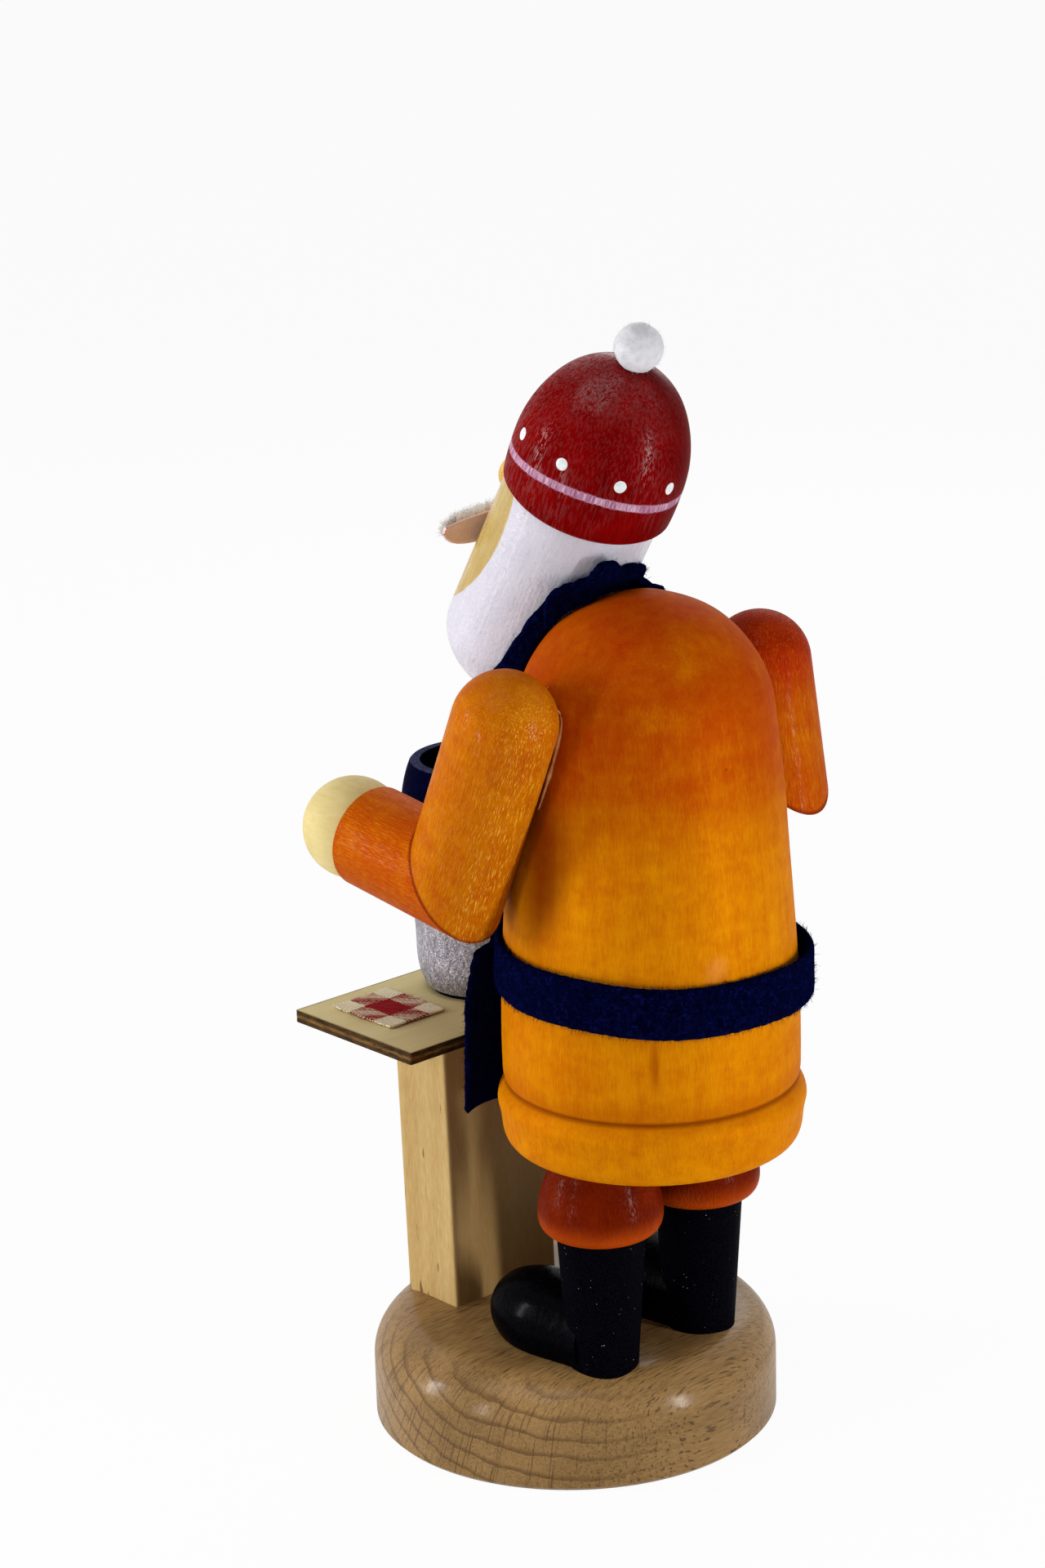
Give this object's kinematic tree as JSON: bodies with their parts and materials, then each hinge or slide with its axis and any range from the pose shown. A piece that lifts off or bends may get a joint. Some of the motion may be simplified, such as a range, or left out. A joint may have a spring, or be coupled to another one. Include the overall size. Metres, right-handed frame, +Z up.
{
  "type": "incense smoker figure",
  "caption": "Turned wooden incense smoker: bearded figure in a knitted-style hat behind a small table with a pot; the hollow coat lifts off an incense dish and smoke leaves by the mouth.",
  "frame": {"origin": "centre of the base's underside", "axes": "+Z up, the figure faces -Y over the table, +X to the figure's left"},
  "size_m": [0.0912, 0.1013, 0.2376],
  "materials": {
    "beech_base": "satin clear lacquer",
    "boot_black": "matt black paint",
    "toe_black": "gloss black lacquer",
    "trouser_stain": "red-brown stain under gloss lacquer",
    "disc_wood": "bare wood",
    "dish_metal": "pressed sheet",
    "nail_metal": "bright",
    "maple_post": "bare wood",
    "plywood": "bare face, burnt edges",
    "check_cloth": "red and cream checked cotton",
    "pot_paint": "silver and dark blue paint",
    "coat_stain": "amber stain under satin lacquer",
    "navy_felt": "craft felt",
    "dowel_wood": "bare wood",
    "head_white": "white paint, bare wood face",
    "nose_wood": "clear lacquer",
    "pile_fabric": "white pile on a pink backing",
    "hat_red": "red gloss paint",
    "pompom_wool": "soft white ball",
    "hand_maple": "clear lacquer"
  },
  "bodies": {
    "stand": {"base_plate": "beech_base", "seat_disc": "disc_wood", "incense_dish": "dish_metal", "dish_nail": "nail_metal", "table_post": "maple_post", "left_post_dowel": "dowel_wood", "right_post_dowel": "dowel_wood", "table_top": "plywood", "table_cloth": "check_cloth", "pot": "pot_paint", "left_boot_shaft": "boot_black", "left_boot_toe": "toe_black", "left_toe_dowel": "dowel_wood", "left_trouser_leg": "trouser_stain", "right_boot_shaft": "boot_black", "right_boot_toe": "toe_black", "right_toe_dowel": "dowel_wood", "right_trouser_leg": "trouser_stain"},
    "coat_group": {"coat": "coat_stain", "belt": "navy_felt", "scarf": "navy_felt", "neck_tube": "dowel_wood", "head": "head_white", "nose": "nose_wood", "moustache": "pile_fabric", "hat": "hat_red", "hat_dowel": "dowel_wood", "pompom": "pompom_wool", "pompom_pin": "nail_metal", "left_upper_arm": "coat_stain", "left_forearm": "coat_stain", "left_hand": "hand_maple", "left_shoulder_dowel": "dowel_wood", "left_elbow_dowel": "dowel_wood", "left_hand_dowel": "dowel_wood", "right_upper_arm": "coat_stain", "right_forearm": "coat_stain", "right_hand": "hand_maple", "right_shoulder_dowel": "dowel_wood", "right_elbow_dowel": "dowel_wood", "right_hand_dowel": "dowel_wood"}
  },
  "joints": [
    {"name": "coat_lift", "type": "slide", "parent": "stand", "child": "coat_group", "axis": [0, 0, 1], "range_m": [0, 0.06]}
  ]
}
